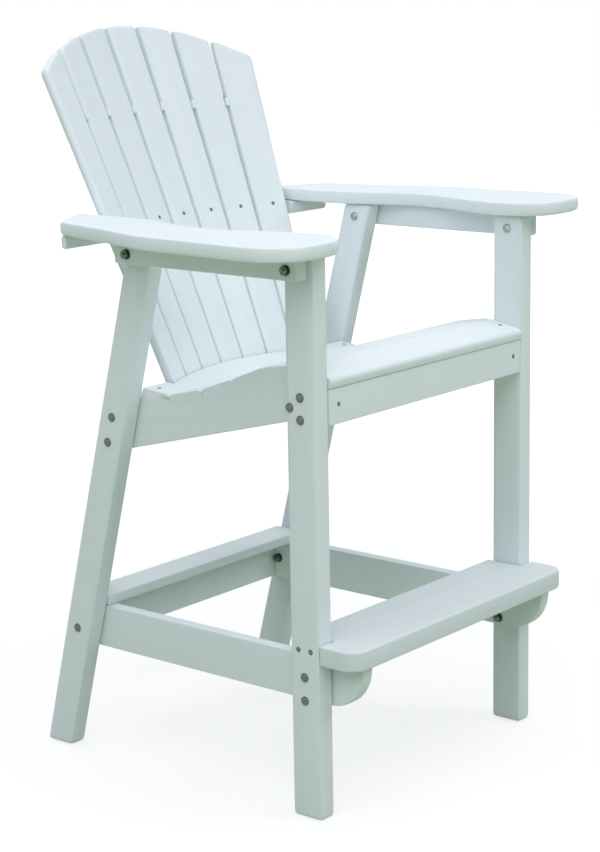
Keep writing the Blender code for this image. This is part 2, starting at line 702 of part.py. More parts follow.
def make_rear_slat(half):
    """Rear slat, its rear edge cut along the back slats' faces, with a wing on either side of them."""
    corner = Vector((0, *SEAT_CORNERS[-1]))
    up = Vector((0, *seat_normal(len(SEAT_TILTS))))
    ahead = up.cross(Vector((1, 0, 0)))
    meeting = BACK_FOOT + BACK_UP * ((corner - BACK_FOOT).dot(up) / BACK_UP.dot(up))
    deep = (meeting - corner).dot(ahead)
    front = SEAT_GAP / 2
    inner, along = OUTER_SLAT.crossing(corner, up, 0)
    step = inner.x + OUTER_SLAT.half_width(along) * OUTER_SLAT.across.x
    rear = [(step, REAR_BOARD_ENDS), (step, deep), (-step, deep), (-step, REAR_BOARD_ENDS)]
    outline = [(-half, front), (half, front), (half, REAR_BOARD_ENDS)] + rear + [(-half, REAR_BOARD_ENDS)]
    frame = Matrix((Vector((1, 0, 0)), ahead, up)).transposed().to_4x4()
    place = Matrix.Translation(corner - up * (BOARD_THICK / 2)) @ frame
    slat = outline_board("seat_slat_%d" % (len(SEAT_TILTS) + 1), outline, BOARD_THICK, place)
    reach = outer_slat_x(meeting.z) + REAR_BOARD_CLEARANCE
    faces = slat_faces(meeting, up, 0, -REAR_BOARD_CLEARANCE, reach, Vector((1, 0, 0)), BACK_REAR)
    behind = meeting.dot(BACK_REAR) + REAR_BOARD_DEPTH
    recess = [(-reach, behind)] + faces + [(reach, behind)]
    cut(slat, outline_mesh(recess, CUT_REACH * REAR_BOARD_DEPTH), back_section(meeting.dot(BACK_UP)))


def make_lower_frame():
    radius = STRETCHER_HEIGHT - STRETCHER_LIP
    nose = -STRETCHER_NOSE
    outline = fillet([(nose, STRETCHER_BOTTOM, radius), (REAR_STRETCHER_BACK, STRETCHER_BOTTOM, 0),
                      (REAR_STRETCHER_BACK, STRETCHER_TOP, 0), (nose, STRETCHER_TOP, 0)], STRETCHER_STEPS)
    for name, side in SIDES:
        inner, outer = side * STRETCHER_IN, side * STRETCHER_OUT
        stretcher = side_board("side_stretcher_" + name, outline, inner, outer)
        drill(stretcher, inner, outer, front_stretcher_sites() + rear_stretcher_sites())
    half = STRETCHER_IN - GAP
    straight_board("rear_stretcher", (-half, REAR_STRETCHER_FRONT, STRETCHER_BOTTOM),
                   (half, REAR_STRETCHER_BACK, STRETCHER_TOP))
    shelf_bottom = STRETCHER_TOP + GAP
    shelf_front = rear_leg_front(shelf_bottom + SHELF_THICK / 2)
    half = LEG_IN - GAP
    straight_board("rear_shelf_board", (-half, shelf_front, shelf_bottom),
                   (half, shelf_front + SHELF_DEPTH, shelf_bottom + SHELF_THICK))


def make_footrest():
    """Board on the stretchers, notched round the front legs."""
    wide = LEG_OUT + FOOTREST_SIDE
    narrow = LEG_IN - GAP
    back = LEG_WIDTH + FOOTREST_BACK
    half = [(wide, -FOOTREST_NOSE, FOOTREST_RADIUS), (wide, -GAP, 0), (narrow, -GAP, 0), (narrow, back, 0)]
    outline = half + [(-x, y, radius) for x, y, radius in reversed(half)]
    bottom = STRETCHER_TOP + GAP
    plan_board("footrest", fillet(outline, CORNER_STEPS), bottom, bottom + FOOTREST_THICK, FOOTREST_EDGE)


def bolt_mesh(name, grip):
    """Domed head above z = 0, shank of one grip below it, then washer, nut and bolt end."""
    profile = []
    for step in range(DOME_STEPS + 1):
        angle = math.pi / 2 * step / DOME_STEPS
        profile.append((HEAD_RADIUS * math.sin(angle), HEAD_HEIGHT * math.cos(angle)))
    washer = -grip - WASHER_THICK
    tip = washer - NUT_HEIGHT - BOLT_END
    profile += [(BOLT_RADIUS, 0), (BOLT_RADIUS, -grip), (WASHER_RADIUS, -grip), (WASHER_RADIUS, washer),
                (BOLT_RADIUS, washer), (BOLT_RADIUS, tip), (0, tip)]
    mesh = bpy.data.meshes.new(name)
    work = bmesh.new()
    points = [work.verts.new((radius, 0, z)) for radius, z in profile]
    for upper, lower in zip(points, points[1:]):
        work.edges.new((upper, lower))
    work.to_mesh(mesh)
    work.free()
    turned = place_piece(name, mesh, Matrix.Identity(4), CUTTERS, METAL)
    screw = turned.modifiers.new("turned", "SCREW")
    screw.steps = BOLT_STEPS
    screw.render_steps = BOLT_STEPS
    screw.use_merge_vertices = True
    screw.merge_threshold = WELD
    nut_mesh = bpy.data.meshes.new("nut")
    work = bmesh.new()
    height = NUT_HEIGHT + NUT_SINK
    seat = Matrix.Translation((0, 0, washer + NUT_SINK - height / 2))
    corner = NUT_ACROSS / 2 / math.cos(math.pi / NUT_SIDES)
    bmesh.ops.create_cone(work, cap_ends=True, segments=NUT_SIDES, radius1=corner, radius2=corner,
                          depth=height, matrix=seat)
    work.to_mesh(nut_mesh)
    work.free()
    nut = place_piece("nut", nut_mesh, Matrix.Identity(4), CUTTERS, METAL)
    union = turned.modifiers.new("nut", "BOOLEAN")
    union.operation = "UNION"
    union.object = nut
    whole = evaluated_mesh(turned)
    bpy.data.objects.remove(turned)
    bpy.data.objects.remove(nut)
    whole.shade_smooth()
    whole.set_sharp_from_angle(angle=SHARP)
    return whole


def make_bolts():
    seat = bolt_mesh("seat_bolt", LEG_OUT - SEAT_RAIL_IN + 2 * GAP)
    stretcher = bolt_mesh("stretcher_bolt", LEG_OUT - STRETCHER_IN + 2 * GAP)
    arm = bolt_mesh("arm_bolt", ARM_RAIL_OUT - LEG_IN + 2 * GAP)
    outside = LEG_OUT + GAP
    inside = LEG_IN - GAP
    rows = (("seat_bolt_front", seat, front_seat_sites(), outside, 1),
            ("seat_bolt_rear", seat, rear_seat_sites(), outside, 1),
            ("stretcher_bolt_front", stretcher, front_stretcher_sites(), outside, 1),
            ("stretcher_bolt_rear", stretcher, rear_stretcher_sites(), outside, 1),
            ("arm_bolt", arm, arm_rail_sites(), inside, -1))
    for name, mesh, sites, x, heading in rows:
        for hand, side in SIDES:
            for number, (y, z) in enumerate(sites):
                turn = Matrix.Rotation(side * heading * math.pi / 2, 4, "Y")
                matrix = Matrix.Translation((side * x, y, z)) @ turn
                place_piece("%s_%s_%d" % (name, hand, number + 1), mesh, matrix, PARTS, METAL)


def centre_chair():
    """Move the root so that the origin is under the middle of the chair's box."""
    bpy.context.view_layer.update()
    graph = bpy.context.evaluated_depsgraph_get()
    stations = []
    for piece in PARTS.objects:
        if piece.type == "MESH":
            whole = piece.evaluated_get(graph)
            stations += [(whole.matrix_world @ Vector(corner.co)).y for corner in whole.data.vertices]
    ROOT.location.y = -(min(stations) + max(stations)) / 2
    bpy.context.view_layer.update()


make_legs()
make_arm_rails()
make_arms()
make_crosspiece()
make_seat_rails()
make_seat()
make_back()
make_lower_frame()
make_footrest()
make_bolts()
centre_chair()
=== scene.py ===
import math
import random

import bmesh
import bpy
import numpy as np
from mathutils import Matrix, Vector
from mathutils.bvhtree import BVHTree


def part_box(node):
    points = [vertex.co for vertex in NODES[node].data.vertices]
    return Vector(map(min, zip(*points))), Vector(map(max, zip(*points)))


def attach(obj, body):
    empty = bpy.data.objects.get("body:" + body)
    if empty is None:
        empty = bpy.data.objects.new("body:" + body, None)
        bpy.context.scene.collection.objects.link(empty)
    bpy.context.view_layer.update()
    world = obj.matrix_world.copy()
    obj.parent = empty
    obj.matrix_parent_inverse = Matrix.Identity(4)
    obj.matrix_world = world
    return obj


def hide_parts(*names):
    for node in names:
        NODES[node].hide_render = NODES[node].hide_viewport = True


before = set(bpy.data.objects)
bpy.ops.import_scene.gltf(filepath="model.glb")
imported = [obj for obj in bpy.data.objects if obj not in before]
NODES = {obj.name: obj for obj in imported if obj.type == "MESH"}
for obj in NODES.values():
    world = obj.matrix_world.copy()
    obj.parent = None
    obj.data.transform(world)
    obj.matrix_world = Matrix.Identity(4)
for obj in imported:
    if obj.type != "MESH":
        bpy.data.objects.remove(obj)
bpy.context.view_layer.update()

# The CAD box, from before anything is added, and the pieces of the frame
BOLTS = sorted(name for name in NODES if "_bolt_" in name)
BOARDS = sorted(name for name in NODES if "_bolt_" not in name)
LEG_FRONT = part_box("front_leg_left")[0].y
HANDS = (("right", -1), ("left", 1))
BODY = "root"

# Camera, fitted to the photograph: its place is measured from the front legs' front faces
CAMERA_PLACE = Vector((-2.978, -2.167, 1.456))
CAMERA_YAW = math.radians(-50.347)
CAMERA_PITCH = math.radians(-12.426)
CAMERA_ROLL = math.radians(-1.026)
LENS = 89.65
SENSOR = 36.0

# Poly lumber
LUMBER_PALE = (0.83, 0.885, 0.895)
LUMBER_DEEP = (0.775, 0.835, 0.84)
# Colour of grime and painted shade, laid on wherever another part is near
LUMBER_GRIME_AND_SHADE = (0.50, 0.54, 0.47)
SCUFF = (0.52, 0.55, 0.54)
SCUFFS = 0.12                # share of the scuffs' colour
WORN_SCUFFS = 0.5            # on the footrest
# Darker tone of the footrest: wear, and painted shade from the seat above it
FOOTREST_WEAR_AND_SHADE_TONE = 0.90
TONE_SPREAD = 0.012          # board to board
PATTERN_SHIFT = 10           # boards are cut from places up to this far apart in the pattern
FLOW_SHARE = 0.45            # shares of the deeper tone
CLOUD_SHARE = 0.35
STREAK_SHARE = 0.2
CUT_SHARE = 0.35             # on cut ends
GRIME_AND_SHADE_REACH = 0.012              # reach of the grime and painted shade in joints
# Share of the grime and painted shade colour where something is near
GRIME_AND_SHADE_SHARE = 0.12
LUMBER_ROUGH = (0.47, 0.61)
CUT_ROUGH = 0.12             # added on cut ends
LUMBER_IOR = 1.5
LUMBER_SPECULAR = 0.25
STREAK_RELIEF = 0.55         # shares of the relief
SKIN_RELIEF = 0.3
SAW_RELIEF = 0.25
RELIEF_STRENGTH = 0.35
RELIEF_HEIGHT = 0.0004
SAW_SCALE = 190.0
SAW_DISTORTION = 2.0
SAW_DETAIL = 1.0
SMOOTH_ANGLE = math.radians(40)
FLAT_ANGLE = math.radians(0.05)      # faces that meet at less are one
WELD = 0.00002
SEED = 7

# Noise: scale, detail and roughness, or scales along and across, detail and roughness
CLOUD = (8.0, 3.0, 0.5)
SKIN = (950.0, 2.0, 0.5)
PATCHES = (5.0, 2.0, 0.5)
FLOW = (1.6, 42.0, 3.0, 0.5)
STREAK = (7.0, 340.0, 4.0, 0.6)
RUB = (9.0, 90.0, 5.0, 0.7)
METAL_CLOUD = (260.0, 4.0, 0.6)
SCRATCH = (350.0, 3600.0, 3.0, 0.6)

# Parts of a pattern's range that are used
NOISE_RANGE = (0.3, 0.7)
STREAK_RANGE = (0.35, 0.7)
RUB_RANGE = (0.56, 0.80)
PATCH_RANGE = (0.42, 0.62)
GRIME_AND_SHADE_RANGE = (0.2, 0.9)     # of openness, for the grime and painted shade
# of openness, for the metal's dirt and painted shade
DIRT_AND_SHADE_RANGE = (0.2, 0.8)
CUT_RANGE = (0.93, 0.98)     # how squarely a face looks along the grain
OPENNESS_SAMPLES = 8

# Metals
STEEL = (0.15, 0.18, 0.17)
STEEL_DARK = (0.085, 0.105, 0.098)
# Arm bolts: a paler copy of the bolt steel, painted light on their sky-lit heads
LIT_ARM_STEEL = (0.44, 0.485, 0.47)
LIT_ARM_STEEL_DARK = (0.27, 0.30, 0.29)
NUT_PALE = (0.165, 0.205, 0.145)
NUT_DARK = (0.045, 0.055, 0.04)
SCREW_PALE = (0.20, 0.21, 0.21)
SCREW_DARK = (0.09, 0.095, 0.095)
STEEL_ROUGH = (0.28, 0.42)
NUT_ROUGH = (0.24, 0.42)
SCREW_ROUGH = (0.3, 0.45)
# Dirt and painted shade on the metal, darker where a board is near
DIRT_AND_SHADE_REACH = 0.004
DIRT_AND_SHADE_SHARE = 0.6
SCRATCH_STRENGTH = 0.2
SCRATCH_HEIGHT = 0.00005

# Back slats: their joints are narrow at the seat, and open from there up to the top
SLATS = 7
BACK_SLATS = ["back_slat_%d" % number for number in range(1, SLATS + 1)]
JOINT_CAD = 0.003
JOINT_LOW = 0.0001
JOINT_HIGH = 0.0068
JOINT_START = 0.76           # height

# Spacers in the joints of the back, at the upper brace
SPACER_HEIGHT = 1.179
SPACER_LENGTH = 0.016
SPACER_DEPTH = 0.012
SPACER_SET = 0.001           # behind the slats' faces
SPACER_BITE = 0.0004         # into the slats on both sides
SPACER_EDGE = 0.0012
SPACER_STEPS = 3
SPACER_PROFILE = 0.5         # round edges

# Seat slats: close joints, and no eased edges where their ends lie flush with the rails
SEAT_SLATS = 6
SEAT_JOINT = 0.0001
GROOVE_DEPTH = 2.2           # size of the eased edges at a joint, to that of the CAD model's
GROOVE_WIDTH = 2.0
BOARD_THICK = 0.019
BOARD_EASE = 0.003           # eased edges
NEAR = 0.0001
STEEP = 0.5                  # a face points up when its normal rises more than this
RAIL_RISE = 0.0003           # closes the gap below the slats
SLAT_CORE = 0.02             # half width of a slat's middle part, which stretches
RAY_START = 1.0              # outside the boards that rays look for

# Carriage bolts, as in the CAD model but for their slightly smaller heads
BOLT_RADIUS = 0.004
HEAD_RADIUS = 0.0079
HEAD_HEIGHT = 0.0045
HEAD_RIM = 0.0005
WASHER_RADIUS = 0.0095
WASHER_THICK = 0.0016
WASHER_EDGE = 0.0003
NUT_ACROSS = 0.014
NUT_HEIGHT = 0.0068
NUT_FACE = 0.0066            # radius of a nut's round end faces
NUT_SLOPE = math.tan(math.radians(60))
NUT_RINGS = (0, 0.03, 0.06, 0.1, 0.15, 0.5, 0.85, 0.9, 0.94, 0.97, 1)  # parts of its height
NUT_STEPS = 72
BOLT_END = 0.004
THREAD_PITCH = 0.0014
THREAD_DEPTH = 0.0006
THREAD_ROWS = 6              # rings for each turn of thread
ROUND_STEPS = 36
DOME_STEPS = 8
DOME_FLAT = 0.2              # part of a step that is left flat at the top
HEAD_METAL = 0               # a bolt's materials
NUT_METAL = 1

# Wood screws, their sizes as parts of a screw's radius
SCREW_RISE = 0.25
SCREW_SINK = 0.33            # depth below the surface
RECESS_REACH = 0.58          # length of each arm of the cross recess
RECESS_HALF = 0.14
RECESS_DEPTH = 0.30
RECESS_LIP = 0.055
SCREW_STEPS = 48
SCREW_RINGS = 14
SCREW_FLAT = 0.3             # part of a ring that is left at the middle

# Radii and places of the screws
SLAT_SCREW_RADIUS = 0.0037
APRON_SCREW_RADIUS = 0.0043
FOOTREST_SCREW_RADIUS = 0.005
BACK_SCREW_HEIGHT = 0.985
APRON_SCREW = (0.2609, 0.7269)
SEAT_SCREW_X = 0.267
SEAT_SCREWS = (("seat_slat_1", 0.0375), ("seat_slat_6", 0.040))  # behind the slats' front edges
FOOTREST_SCREW_HEIGHT = 0.3043
FOOTREST_SCREWS = (0.0183, 0.0452)   # behind the front legs' front faces

# Stage and light
FLOOR_RADIUS = 14.0
FLOOR_DROP = 0.0004
FLOOR_STEPS = 96
FLOOR_SHADE = (0.33, 0.33, 0.33)
FLOOR_GLOW = 0.70            # near the chair
FAR_GLOW = 0.95
GLOW_START = 1.2             # distances over which the glow grows
GLOW_END = 5.0
FLOOR_BOUNCE = (0.385, 0.465, 0.30)  # light that the floor scatters up
DOME_LOW = (0.105, 0.145, 0.25)
DOME_HIGH = (1.56, 1.60, 1.63)
DOME_POWER = 3.0             # how fast the dome brightens upwards
HORIZON = 0.05
WHITE = (1, 1, 1, 1)
LAMP_AIM = (0, 0, 0.8)
LAMP_SIZE = 3.0
LAMPS = (("front_right", (2.2, -4.2, 4.2), 61.0), ("front", (-0.8, -5.0, 2.6), 16.5),
         ("front_left", (-3.6, -2.6, 4.2), 68.0), ("left", (-4.8, 0.6, 3.0), 26.0),
         ("back", (1.2, 4.8, 3.4), 26.0))


def make_camera():
    data = bpy.data.cameras.new("camera")
    data.lens = LENS
    data.sensor_width = SENSOR
    camera = bpy.data.objects.new("camera", data)
    bpy.context.scene.collection.objects.link(camera)
    turn = Matrix.Rotation(CAMERA_YAW, 4, "Z")
    turn = turn @ Matrix.Rotation(math.pi / 2 + CAMERA_PITCH, 4, "X")
    turn = turn @ Matrix.Rotation(CAMERA_ROLL, 4, "Z")
    place = CAMERA_PLACE + Vector((0, LEG_FRONT, 0))
    camera.matrix_world = Matrix.Translation(place) @ turn
    bpy.context.scene.camera = camera


# Node trees

def node(tree, kind, inputs=None, **settings):
    """New node; an input is a value, or another node's output to link."""
    new = tree.nodes.new(kind)
    for key, value in settings.items():
        setattr(new, key, value)
    for key, value in (inputs or {}).items():
        socket = new.inputs[key]
        if isinstance(value, bpy.types.NodeSocket):
            tree.links.new(value, socket)
        else:
            socket.default_value = value
    return new


def noise(tree, vector, scale, detail, roughness):
    made = node(tree, "ShaderNodeTexNoise",
                {"Vector": vector, "Scale": scale, "Detail": detail, "Roughness": roughness})
    return made.outputs["Fac"]


def drawn_out(tree, vector, along, across, detail, roughness):
    """Noise that is drawn out along X."""
    made = node(tree, "ShaderNodeMapping", {"Vector": vector, "Scale": (along, across, across)})
    return noise(tree, made.outputs["Vector"], 1.0, detail, roughness)


def spread(tree, value, source, target):
    """A value's range brought to another range, and held there."""
    made = node(tree, "ShaderNodeMapRange",
                {"Value": value, "From Min": source[0], "From Max": source[1],
                 "To Min": target[0], "To Max": target[1]})
    return made.outputs["Result"]


def blend(tree, share, first, second):
    """Mix of two colours; a Mix node's sockets 6 and 7, and its output 2, are those for colours."""
    made = node(tree, "ShaderNodeMix", data_type="RGBA")
    for socket, value in zip((made.inputs[0], made.inputs[6], made.inputs[7]), (share, first, second)):
        if isinstance(value, bpy.types.NodeSocket):
            tree.links.new(value, socket)
        elif isinstance(value, tuple):
            socket.default_value = (*value, 1)
        else:
            socket.default_value = value
    return made.outputs[2]


def maths(tree, operation, first, second):
    made = node(tree, "ShaderNodeMath", {0: first, 1: second}, operation=operation)
    return made.outputs[0]


def openness(tree, reach):
    """One in the open, and less where something is within reach."""
    made = node(tree, "ShaderNodeAmbientOcclusion", {"Distance": reach}, samples=OPENNESS_SAMPLES)
    return made.outputs["AO"]


def new_material(name):
    material = bpy.data.materials.new(name)
    material.use_nodes = True
    tree = material.node_tree
    shader = tree.nodes["Principled BSDF"]
    return material, tree, shader


def connect(tree, shader, colour, roughness, bump):
    tree.links.new(colour, shader.inputs["Base Color"])
    tree.links.new(roughness, shader.inputs["Roughness"])
    tree.links.new(bump.outputs["Normal"], shader.inputs["Normal"])


def lumber(name, grain, tone, offset, scuffs):
    """White poly lumber: drawn-out streaks along the board, fine skin, saw-cut ends, grime and painted
    shade in joints.
    """
    material, tree, shader = new_material(name)
    place = node(tree, "ShaderNodeTexCoord").outputs["Object"]
    turn = grain.rotation_difference(Vector((1, 0, 0))).to_euler()
    board = node(tree, "ShaderNodeMapping", {"Vector": place, "Rotation": turn, "Location": offset})
    board = board.outputs["Vector"]
    flow = drawn_out(tree, board, *FLOW)
    streak = drawn_out(tree, board, *STREAK)
    cloud = noise(tree, board, *CLOUD)
    skin = noise(tree, board, *SKIN)

    # Colour: clouds and streaks, then scuffs, then grime and painted shade where boards meet
    shade = maths(tree, "ADD", spread(tree, flow, NOISE_RANGE, (0.0, FLOW_SHARE)),
                  spread(tree, cloud, NOISE_RANGE, (0.0, CLOUD_SHARE)))
    shade = maths(tree, "ADD", shade, spread(tree, streak, STREAK_RANGE, (0.0, STREAK_SHARE)))
    pale = tuple(channel * tone for channel in LUMBER_PALE)
    deep = tuple(channel * tone for channel in LUMBER_DEEP)
    colour = blend(tree, shade, pale, deep)
    rub = spread(tree, drawn_out(tree, board, *RUB), RUB_RANGE, (0.0, scuffs))
    patches = spread(tree, noise(tree, board, *PATCHES), PATCH_RANGE, (0.0, 1.0))
    colour = blend(tree, maths(tree, "MULTIPLY", rub, patches), colour, SCUFF)
    # Grime and painted shade: darker wherever another part is within reach
    grime_and_shade = spread(tree, openness(tree, GRIME_AND_SHADE_REACH), GRIME_AND_SHADE_RANGE, (GRIME_AND_SHADE_SHARE, 0.0))
    colour = blend(tree, grime_and_shade, colour, LUMBER_GRIME_AND_SHADE)

    # Cut ends are duller, with fine marks of the saw
    facing = node(tree, "ShaderNodeNewGeometry").outputs["Normal"]
    along = node(tree, "ShaderNodeVectorMath", {0: facing, 1: grain}, operation="DOT_PRODUCT")
    along = maths(tree, "ABSOLUTE", along.outputs["Value"], 0.0)
    cut = spread(tree, along, CUT_RANGE, (0.0, 1.0))
    colour = blend(tree, maths(tree, "MULTIPLY", cut, CUT_SHARE), colour, LUMBER_DEEP)
    dull = maths(tree, "ADD", spread(tree, streak, NOISE_RANGE, LUMBER_ROUGH),
                 maths(tree, "MULTIPLY", cut, CUT_ROUGH))
    saw = node(tree, "ShaderNodeTexWave", {"Vector": place, "Scale": SAW_SCALE, "Detail": SAW_DETAIL,
                                           "Distortion": SAW_DISTORTION}, bands_direction="DIAGONAL")
    saw = maths(tree, "MULTIPLY", saw.outputs["Fac"], cut)
    relief = maths(tree, "ADD", maths(tree, "MULTIPLY", streak, STREAK_RELIEF),
                   maths(tree, "MULTIPLY", skin, SKIN_RELIEF))
    relief = maths(tree, "ADD", relief, maths(tree, "MULTIPLY", saw, SAW_RELIEF))
    bump = node(tree, "ShaderNodeBump",
                {"Height": relief, "Strength": RELIEF_STRENGTH, "Distance": RELIEF_HEIGHT})
    connect(tree, shader, colour, dull, bump)
    shader.inputs["IOR"].default_value = LUMBER_IOR
    shader.inputs["Specular IOR Level"].default_value = LUMBER_SPECULAR
    return material


def metal(name, pale, dark, roughness):
    """Worn metal: cloudy tone, fine random scratches, dirt and painted shade where it meets a board."""
    material, tree, shader = new_material(name)
    place = node(tree, "ShaderNodeTexCoord").outputs["Object"]
    scratch = drawn_out(tree, place, *SCRATCH)
    tone = spread(tree, noise(tree, place, *METAL_CLOUD), NOISE_RANGE, (0.0, 1.0))
    colour = blend(tree, tone, pale, dark)
    # Dirt and painted shade: darker towards the dark nut colour where a board is near
    dirt_and_shade = spread(tree, openness(tree, DIRT_AND_SHADE_REACH), DIRT_AND_SHADE_RANGE, (DIRT_AND_SHADE_SHARE, 0.0))
    colour = blend(tree, dirt_and_shade, colour, NUT_DARK)
    dull = spread(tree, scratch, NOISE_RANGE, roughness)
    bump = node(tree, "ShaderNodeBump",
                {"Height": scratch, "Strength": SCRATCH_STRENGTH, "Distance": SCRATCH_HEIGHT})
    connect(tree, shader, colour, dull, bump)
    shader.inputs["Metallic"].default_value = 1.0
    return material


def add_piece(name, mesh, matrix):
    piece = bpy.data.objects.new(name, mesh)
    bpy.context.scene.collection.objects.link(piece)
    piece.matrix_world = matrix
    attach(piece, BODY)
    return piece


# Boards

def board_axes(name):
    """A board's middle, and its directions from the longest to the shortest."""
    corners = np.array([corner.co for corner in NODES[name].data.vertices])
    axes = np.linalg.svd(corners - corners.mean(0), full_matrices=False)[2]
    return Vector(corners.mean(0)), [Vector(axis) for axis in axes]


def board_grain(name):
    """Direction of a board's greatest length."""
    return board_axes(name)[1][0]


def board_copy(name):
    """Editable copy of a CAD board."""
    work = bmesh.new()
    work.from_mesh(NODES[name].data)
    bmesh.ops.remove_doubles(work, verts=work.verts, dist=WELD)
    return work


def shift_edges(work, number, middle, across, shift):
    """Moves a back slat's long edges towards its neighbours, by a shift that goes by height."""
    for corner in work.verts:
        reach = (corner.co - middle).dot(across)
        if 1 <= number + (1 if reach > 0 else -1) <= SLATS:
            corner.co += across * shift(corner.co.z) * max(-1, min(1, reach / SLAT_CORE))


def back_slat(name, number):
    """Back slat with joints that open towards the top."""
    work = board_copy(name)
    middle, axes = board_axes(name)
    across = axes[1]
    if across.x < 0:
        across.negate()
    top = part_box(name)[1].z
    bmesh.ops.bisect_plane(work, geom=work.verts[:] + work.edges[:] + work.faces[:],
                           plane_co=(0, 0, JOINT_START), plane_no=(0, 0, 1))

    def shift(height):
        share = max(0, (height - JOINT_START) / (top - JOINT_START))
        return (JOINT_CAD - JOINT_LOW - (JOINT_HIGH - JOINT_LOW) * share) / 2
    shift_edges(work, number, middle, across, shift)
    return work


class Section:
    """A seat slat's top face, and its long walls, which lean towards the neighbours'."""

    def __init__(self, name):
        self.work = board_copy(name)
        tops = [face for face in self.work.faces if face.normal.z > STEEP]
        crown = max(tops, key=lambda face: face.calc_area())
        self.normal = crown.normal.copy()
        self.height = crown.verts[0].co.dot(self.normal)
        self.across = self.normal.cross(Vector((1, 0, 0)))
        self.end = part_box(name)[1].x

    def drop(self, corner):
        return self.height - corner.co.dot(self.normal)

    def wall(self, side, drop):
        """How far out a wall is, at a depth below the top."""
        depths = (BOARD_EASE, BOARD_THICK - BOARD_EASE)
        reaches = []
        for depth in depths:
            level = [corner for corner in self.work.verts if abs(self.drop(corner) - depth) < NEAR]
            reaches.append(max(corner.co.dot(self.across) * side for corner in level))
        return reaches[0] + (reaches[1] - reaches[0]) * (drop - depths[0]) / (depths[1] - depths[0])

    def wall_centre(self, side):
        depth = BOARD_THICK / 2
        return self.across * side * self.wall(side, depth) + self.normal * (self.height - depth)


def close_joint(slat, other, side):
    """New places for the corners along one of a slat's walls: upright, and with a groove at the top."""
    joint = (slat.wall_centre(side) + other.wall_centre(-side)) / 2
    facing = slat.across + other.across
    places = {}
    for corner in slat.work.verts:
        drop = slat.drop(corner)
        inset = slat.wall(side, drop) - corner.co.dot(slat.across) * side
        if inset < BOARD_EASE + NEAR:
            upper = drop < BOARD_EASE + NEAR
            rounded = drop < BOARD_EASE - NEAR
            outer = upper and inset > BOARD_EASE - NEAR
            wall = corner.co + slat.across * side * inset
            reach = Vector((0, *(joint - wall).yz)).dot(facing) / slat.across.dot(facing)
            back = SEAT_JOINT / 2 + (inset * GROOVE_WIDTH if rounded or outer else 0)
            deeper = drop * (GROOVE_DEPTH - 1) if upper and not outer else 0
            place = wall + slat.across * (reach - side * back) - slat.normal * deeper
            if not rounded and abs(place.x) > slat.end - BOARD_EASE - NEAR:
                place.x = math.copysign(slat.end, place.x)
            places[corner] = place
    return places


def seat_slats():
    """Seat slats with close, grooved joints, square along the lower edges of their ends."""
    slats = {number: Section("seat_slat_%d" % number) for number in range(1, SEAT_SLATS + 1)}
    places = []
    for number, slat in slats.items():
        for corner in slat.work.verts:
            at_end = abs(corner.co.x) > slat.end - BOARD_EASE - NEAR
            if at_end and slat.drop(corner) > BOARD_THICK / 2:
                corner.co.x = math.copysign(slat.end, corner.co.x)
        for side in (-1, 1):
            if number + side in slats:
                places.append(close_joint(slat, slats[number + side], side))
    for moved in places:
        for corner, place in moved.items():
            corner.co = place
    return {number: slat.work for number, slat in slats.items()}


def seat_rail(name, side):
    """Seat rail, square along the top of its outer face."""
    work = board_copy(name)
    low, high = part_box(name)
    outer = high.x if side > 0 else low.x
    tree = BVHTree.FromBMesh(work)
    for corner in work.verts:
        if abs(corner.co.x - outer) < BOARD_EASE + NEAR:
            start = Vector(((low.x + high.x) / 2, corner.co.y, RAY_START))
            top = tree.ray_cast(start, Vector((0, 0, -1)))[0]
            if top and top.z - corner.co.z < BOARD_EASE + NEAR:
                corner.co.x = outer
                if top.z - corner.co.z < WELD:
                    corner.co.z += RAIL_RISE
    return work


def add_boards():
    """New boards in place of the CAD model's, by the names of those."""
    works = {}
    for number, name in enumerate(BACK_SLATS, 1):
        works[name] = back_slat(name, number)
    for number, work in seat_slats().items():
        works["seat_slat_%d" % number] = work
    for hand, side in HANDS:
        works["seat_rail_" + hand] = seat_rail("seat_rail_" + hand, side)
    boards = {}
    for name, work in works.items():
        mesh = bpy.data.meshes.new(name)
        bmesh.ops.remove_doubles(work, verts=work.verts, dist=WELD)
        bmesh.ops.dissolve_degenerate(work, edges=work.edges, dist=NEAR)
        bmesh.ops.dissolve_limit(work, angle_limit=FLAT_ANGLE, verts=work.verts,
                                 edges=work.edges)
        work.to_mesh(mesh)
        work.free()
        boards[name] = add_piece("detailed_" + name, mesh, Matrix())
        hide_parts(name)
    return boards


def slat_centre(name, height):
    """Point on a back slat's middle line."""
    grain = board_grain(name)
    corners = NODES[name].data.vertices
    middle = sum((corner.co for corner in corners), Vector()) / len(corners)
    return middle + grain * ((height - middle.z) / grain.z)


def board_tree(mesh):
    work = bmesh.new()
    work.from_mesh(mesh)
    tree = BVHTree.FromBMesh(work)
    work.free()
    return tree


